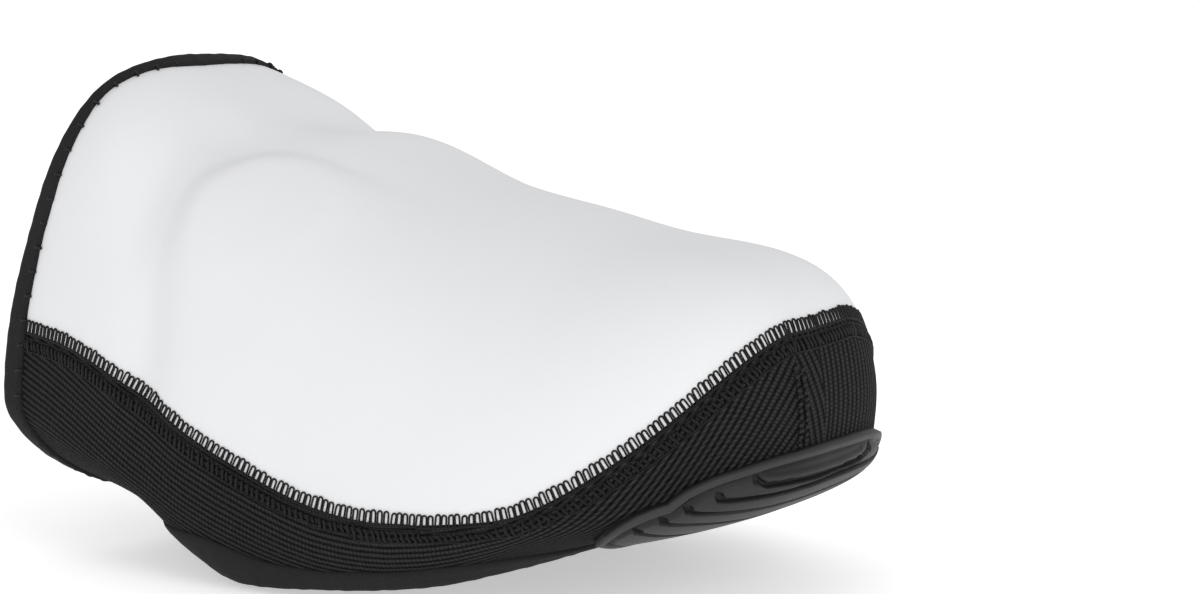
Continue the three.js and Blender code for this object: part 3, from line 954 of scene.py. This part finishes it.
# Grooves between the ribs, from the top one down, each as a line of spots from its outer to its inner end
GROOVES = (
    columns(
        "k w",
        (0.872, 0.98), (0.891, 1.001), (0.931, 1.02), (0.986, 1.026),
        (1.057, 1.016), (1.093, 1.002), (1.128, 0.98),
    ),
    columns(
        "k w",
        (0.825, 1.01), (0.834, 1.06), (0.87, 1.09), (0.912, 1.101), (0.961, 1.095),
        (1.028, 1.078), (1.09, 1.07), (1.15, 1.06), (1.175, 1.01),
    ),
    columns(
        "k w",
        (0.79, 1.07), (0.801, 1.125), (0.841, 1.175), (0.884, 1.205), (0.932, 1.217),
        (0.981, 1.205), (1.05, 1.19), (1.12, 1.175), (1.2, 1.13), (1.21, 1.07),
    ),
    columns(
        "k w",
        (0.765, 1.13), (0.774, 1.18), (0.815, 1.24), (0.861, 1.29), (0.918, 1.325),
        (0.986, 1.33), (1.06, 1.32), (1.14, 1.28), (1.226, 1.18), (1.235, 1.13),
    ),
    columns(
        "k w",
        (0.742, 1.195), (0.754, 1.24), (0.79, 1.315), (0.84, 1.38), (0.9, 1.425),
        (1, 1.445), (1.1, 1.425), (1.16, 1.38), (1.246, 1.24), (1.258, 1.195),
    ),
)


def pad_edges(k):
    """The section's w at the pad's rear and top edges. Both sides of the toe are alike."""
    near = np.clip(1 - np.abs(1 - k), PAD_START, 1)
    share = (1 - near) / (1 - PAD_START)
    rear = PAD_REAR["middle"] - (PAD_REAR["middle"] - PAD_REAR["end"]) * share**4
    return rear, smooth(PAD_TOP, "w", near, "k")


def distance_to(points, line):
    """Distance from each point to the nearest point of a line."""
    tree = KDTree(len(line))
    for i, point in enumerate(line):
        tree.insert(point, i)
    tree.balance()
    return np.array([tree.find(p)[2] for p in points])


def pad_relief(ks, w, base, inset):
    """Height of the pad's ribs, panel and rim over the knit, and a painted shade from 0 to 1 that follows
    each spot's height: darker the lower it lies, lightest on the rim, darker still on the panel.
    """
    flat = base.reshape(-1, 3)
    depth = np.zeros(w.shape)
    aways = []
    for groove in GROOVES:
        groove_k = np.linspace(groove["k"][0], groove["k"][-1], 1200)
        line = surface(groove_k, -smooth(groove, "w", groove_k, "k"))
        tips = (np.linalg.norm(flat - line[i], axis=1) for i in (GROOVE_TIP, -1 - GROOVE_TIP))
        tip = np.minimum(*tips).reshape(w.shape)
        away = distance_to(flat, line).reshape(w.shape)
        cut = 1 - ease(away, GROOVE_WIDTH * 0.36, GROOVE_WIDTH * 0.62)
        depth = np.maximum(depth, np.maximum(cut, 1 - ease(tip, 0.62, 0.95)))
        aways.append(away)

    # The panel between the top groove and the rim lies lower than the ribs, and stays darker
    top_groove = -smooth(GROOVES[0], "w", ks, "k")
    above = ease(w - top_groove, 0, 0.004) * ease(aways[0], 1.35, 1.75)
    within = 1 - ease(np.abs(1 - ks), 0.105, 0.122)
    panel = above * ease(inset, RIM_WIDTH + 0.45, RIM_WIDTH + 0.85) * within
    ribs = PAD_FLOOR + (RIB_TOP - PAD_FLOOR) * (1 - depth) * (1 - 0.4 * panel)

    # A shallow channel runs inside the rim
    channel = PAD_FLOOR + (RIB_TOP - PAD_FLOOR) * 0.45
    ramp = ease(inset, RIM_WIDTH + 0.45, RIM_WIDTH + 1.5)
    body = np.minimum(ribs, channel + (RIB_TOP - channel) * ramp)
    across = np.clip(inset / RIM_WIDTH, 0, 1)
    rim = PAD_FLOOR + (RIM_TOP - PAD_FLOOR) * np.sqrt(np.clip(1 - (2 * across - 1) ** 4, 0, 1))
    rim_share = 1 - ease(inset, RIM_WIDTH - 0.1, RIM_WIDTH + 0.35)
    height = body * (1 - rim_share) + rim * rim_share
    height = np.where(inset < 0.15, PAD_FOOT + (height - PAD_FOOT) * inset / 0.15, height)
    # Painted shade: the colour is lighter the higher a spot lies, lightest on the rim and darker still on
    # the panel
    painted_shade_by_height = np.clip((height - PAD_FLOOR) / (RIM_TOP - PAD_FLOOR), 0, 1) ** 1.5 * (0.68 + 0.32 * rim_share)
    return height, painted_shade_by_height * (1 - 0.6 * panel)


def toe_rubber():
    rows, cols = 541, 137
    k = np.linspace(PAD_START + 0.001, 2 - PAD_START - 0.001, rows)
    rear, top = pad_edges(k)
    share = np.linspace(0, 1, cols)
    w = -(rear[:, None] + (top - rear)[:, None] * share)
    ks = np.broadcast_to(k[:, None], w.shape)
    base = surface(ks, w)
    normal = unit(sum(outward(ks, w + aside) for aside in (-0.14, -0.07, 0, 0.07, 0.14)))
    fine_k = np.linspace(k[0], k[-1], 2400)
    fine_rear, fine_top = pad_edges(fine_k)
    ends = [surface(np.full(60, k[i]), np.linspace(w[i, 0], w[i, -1], 60)) for i in (0, -1)]
    edge = np.concatenate([surface(fine_k, -fine_rear), surface(fine_k, -fine_top), *ends])
    inset = distance_to(base.reshape(-1, 3), edge).reshape(rows, cols)
    height, painted_shade_by_height = pad_relief(ks, w, base, inset)

    # The outer face carries the relief; the face against the knit is a coarser grid inside the same edge
    outer = base + normal * height[..., None]
    inner = (base + normal * PAD_FOOT * 0.5)[::2, ::2]
    count, few = rows * cols, inner.shape[:2]
    faces = [list(f) for f in grid_faces(rows, cols)]
    faces += [list(f[::-1]) for f in grid_faces(*few, count)]
    fine, coarse = np.arange(count).reshape(rows, cols), np.arange(few[0] * few[1]).reshape(few) + count
    # Walls join the two along all four sides, where each edge of the coarse grid meets two of the fine
    for full, half, turn in (
        (fine[:, 0], coarse[:, 0], 1),
        (fine[:, -1], coarse[:, -1], -1),
        (fine[0], coarse[0], -1),
        (fine[-1], coarse[-1], 1),
    ):
        for i in range(len(half) - 1):
            ring = [half[i], half[i + 1], full[2 * i + 2], full[2 * i + 1], full[2 * i]]
            faces.append(ring if turn > 0 else ring[::-1])
    points = np.concatenate([outer.reshape(-1, 3), inner.reshape(-1, 3)])
    # The pad's painted shade goes with each point; the face against the knit is painted darkest
    painted_shade_by_height = np.concatenate([painted_shade_by_height.ravel(), np.zeros(few[0] * few[1])])
    piece = made("toe_rubber", points, faces, None, {"painted_shade_by_height": painted_shade_by_height})
    face_out(piece)
    piece.data.materials.append(RUBBER)
    return piece


# ---- Threads ----
random = np.random.default_rng(7)


def shaky(strands):
    """Three random numbers for each strand."""
    return random.normal(0, 1, (3, strands, 1))


def seam_loops():
    """Flatlock stitches: closed loops of thread that reach from the band up over the upper."""
    strands = Strands()
    turn = np.linspace(0, math.pi, 7)
    half, reach, rise = 0.43, LOOP_REACH, 0.42
    arch = np.stack([-np.cos(turn) * half, rise - np.sin(turn) * rise], axis=-1)
    legs = np.linspace(reach, rise, 4)[:-1]
    left = np.stack([np.full(3, -half), legs], axis=-1)
    loop = np.concatenate([left, arch, left[::-1] * (-1, 1)])
    starts = np.arange(LOOP_PITCH, SEAM_LENGTH - LOOP_PITCH, LOOP_PITCH)[:, None]
    shift, tall, lean = shaky(len(starts))
    down = reach + (loop[:, 1] - reach) * (1 + 0.05 * tall)
    run = starts + 0.05 * shift + loop[:, 0] + (0.1 + 0.04 * lean) * (reach - down)
    height = np.broadcast_to(0.08 + 0.1 * np.sin(np.linspace(0, math.pi, len(loop))), run.shape)
    strands.add(below_seam(run, down, height), outward(*seam_spot(run)), radius=0.185)
    return strands.made("seam_loops", BLACK_THREAD)


def seam_rows():
    """Thick rows of thread under the loops, where the overlock stitches bunch up."""
    strands = Strands()
    pitch, middle = 1.2, 4.75
    s = np.linspace(-1, 1, 6)
    starts = np.arange(pitch, SEAM_LENGTH - pitch, pitch)[:, None]
    shift, size, lean = shaky(len(starts))
    run = starts + 0.12 * shift + 0.22 * np.sin(s * 2.2) + 0.05 * lean
    down = middle + s * (1 + 0.08 * size)
    height = np.broadcast_to(0.06 + 0.18 * np.cos(s * 1.4), run.shape)
    radius = 0.33 * (1.05 - 0.3 * s**2) * (1 + 0.06 * size)
    strands.add(below_seam(run, down, height), outward(*seam_spot(run)), radius)
    return strands.made("seam_rows", BLACK_THREAD)


def seam_cords():
    """Long threads that run under the loops and along the lower edge of the seam."""
    strands = Strands()
    run = np.linspace(0.6, SEAM_LENGTH - 0.6, 900)[None]
    for down, radius, height in ((LOOP_REACH, 0.26, 0.02), (3.5, 0.2, -0.04), (6.0, 0.2, 0.02)):
        path = below_seam(run, down + 0.06 * np.sin(run * 4.1), height + 0.05 * np.sin(run * 5.3))
        strands.add(path, outward(*seam_spot(run)), radius)
    return strands.made("seam_cords", BLACK_THREAD)


def tape_stitches(name, line, centre, reach, dash, height, nub_every=0, shares=None):
    """A row of stitches along the tape's edge, with nubs where the needle catches the fabric beside it."""
    strands = Strands()
    pitch = 2.5
    k, w = line
    inward = square_to(k, w, centre)
    points = surface(k, w)
    run = lengths(np.concatenate([points, points[:1]]))
    spacing = run[-1] / len(k)

    def spot(at):
        near = np.round(at / spacing).astype(int) % len(k)
        return k[near], w[near], inward[near]

    starts = np.arange(0, run[-1] - pitch, pitch)[:, None]
    shift, lean, _ = shaky(len(starts)) * 0.12
    s = np.linspace(0, 1, 6)
    sk, sw, into = spot(starts + s * dash)
    if shares is not None:
        reach = reach * smooth(shares, "share", spot(starts[:, :1])[1], "w")
    wk, ww = walk(sk, sw, into, reach + shift * 0.4 + (s - 0.5) * lean)
    normal = outward(wk, ww)
    rise = (height * np.sin(0.25 + s * 2.6) ** 0.5)[:, None]
    strands.add(surface(wk, ww) + normal * rise, normal, radius=0.13, sides=5)
    if nub_every:
        # The fabric is caught only up the sides of the opening
        side_on = np.abs(np.abs(spot(starts[:, 0])[1]) - 0.57) < 0.45
        starts, shift = starts[side_on][::nub_every], shift[side_on][::nub_every]
        s = np.linspace(0, 1, 5)
        sk, sw, into = spot(starts + dash * 0.5 + s * 0.25)
        reach = reach[side_on][::nub_every]
        wk, ww = walk(sk, sw, into, reach + s * (0.175 * reach + 0.5 + shift * 1.2))
        normal = outward(wk, ww)
        rise = np.array([height, height, height, height * 0.75, 0.1])[:, None]
        strands.add(surface(wk, ww) + normal * rise, normal, radius=0.3, sides=5)
    return strands.made(name, GREY_THREAD)


def toe_seam():
    """The overlocked seam up the front of the toe, where the band's two ends meet."""
    strands = Strands()
    k = np.array([TOE_SEAM_K])
    ws = np.linspace(pad_edges(k)[1][0], -joint_w(k, -1)[0], 400)
    run = lengths(surface(np.full(400, k[0]), -ws))
    s = np.linspace(-1, 1, 5)
    for row, aside in enumerate((-0.9, 0.75)):
        starts = np.arange(0.8 + 0.6 * row, run[-1] - 6.2, 1.25)[:, None]
        shift, size, _ = shaky(len(starts))
        at = -np.interp(starts + 0.1 * shift + 0.18 * s, run, ws)
        along_k, _ = slopes(np.full_like(at, k[0]), at)
        sk, sw = walk(np.full_like(at, k[0]), at, along_k, aside + s * 0.42 * (1 + 0.1 * size))
        normal = outward(sk, sw)
        place = surface(sk, sw) + normal * (0.1 + 0.26 * np.cos(s * 1.4))[:, None]
        strands.add(place, normal, radius=0.4 * (1.05 - 0.4 * s**2) * (1 + 0.06 * size))
    return strands.made("toe_seam", GREY_THREAD)


# ---- The cover ----
upper = upper_fabric()
band = band_fabric()
ankle = ankle_tape()
cleat = cleat_tape()
rubber = toe_rubber()
loops = seam_loops()
rows_of_thread = seam_rows()
cords = seam_cords()
ankle_stitches = tape_stitches(
    "ankle_stitches",
    line=ankle_line(0.1),
    centre=BEHIND_ANKLE,
    reach=3.75,
    dash=1.9,
    height=0.8,
    nub_every=2,
    shares=ANKLE_WIDTH,
)
cleat_stitches = tape_stitches(
    "cleat_stitches",
    line=cleat_line(4001),
    centre=CLEAT_MIDDLE,
    reach=4.0,
    dash=1.8,
    height=0.74,
)
front_seam = toe_seam()

for piece, nodes, slot in (
    (upper, ["upper_shell"], "upper"),
    (band, ["side_band"], "band"),
    (ankle, ["opening_binding"], "tape"),
    (cleat, ["cleat_binding"], "tape"),
    (rubber, ["toe_pad"], "rubber"),
    (loops, [], "band"),
    (rows_of_thread, [], "band"),
    (cords, [], "band"),
    (ankle_stitches, [], "tape"),
    (cleat_stitches, [], "tape"),
    (front_seam, [], "band"),
):
    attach(piece, "root")
    if nodes:
        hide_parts(*nodes)


# ---- Floor, light and camera ----
bpy.ops.mesh.primitive_circle_add(vertices=96, radius=9.0, fill_type="NGON", location=(0, 0, -0.0002))
floor = bpy.context.object
floor.name = "floor"
floor.data.materials.append(pale_floor())

world = bpy.data.worlds.new("soft_white")
bpy.context.scene.world = world
world.use_nodes = True
background = world.node_tree.nodes["Background"].inputs
background["Color"].default_value = (1, 1, 1, 1)
background["Strength"].default_value = 0.72


def softbox(name, place, size, power):
    """A square lamp aimed at the middle of the cover."""
    lamp = bpy.data.lights.new(name, "AREA")
    lamp.shape = "SQUARE"
    lamp.size = size
    lamp.energy = power
    thing = bpy.data.objects.new(name, lamp)
    thing.location = place
    thing.rotation_euler = (Vector((0, 0, 0.04)) - Vector(place)).to_track_quat("-Z", "Y").to_euler()
    bpy.context.scene.collection.objects.link(thing)


softbox("key", place=(1.5, -0.75, 0.9), size=0.8, power=6.6)
softbox("fill", place=(-0.1, -1.4, 0.9), size=0.8, power=1.5)

VIEW_TURN, VIEW_RISE = math.radians(33), math.radians(10)
DISTANCE = 1.0
LENS = 159.9
LOOK_AT = (np.array([84.4, -0.2, 40.0]) + STANDS_AT) * 0.001
FRAMING = (0.02743, 0.01433)  # the cover stands left of and below the middle of the picture
right = np.array([math.cos(VIEW_TURN), math.sin(VIEW_TURN), 0])
level = math.cos(VIEW_RISE)
back = np.array([math.sin(VIEW_TURN) * level, -math.cos(VIEW_TURN) * level, math.sin(VIEW_RISE)])
up = np.cross(back, right)
lens = bpy.data.cameras.new("camera")
lens.sensor_width = 36
lens.lens = LENS
lens.clip_end = 50
camera = bpy.data.objects.new("camera", lens)
stand = LOOK_AT + right * FRAMING[0] + up * FRAMING[1] + back * DISTANCE
camera.matrix_world = Matrix([*np.stack([right, up, back, stand], axis=1).tolist(), [0, 0, 0, 1]])
bpy.context.scene.collection.objects.link(camera)
bpy.context.scene.camera = camera
bpy.context.scene.view_settings.view_transform = "Standard"
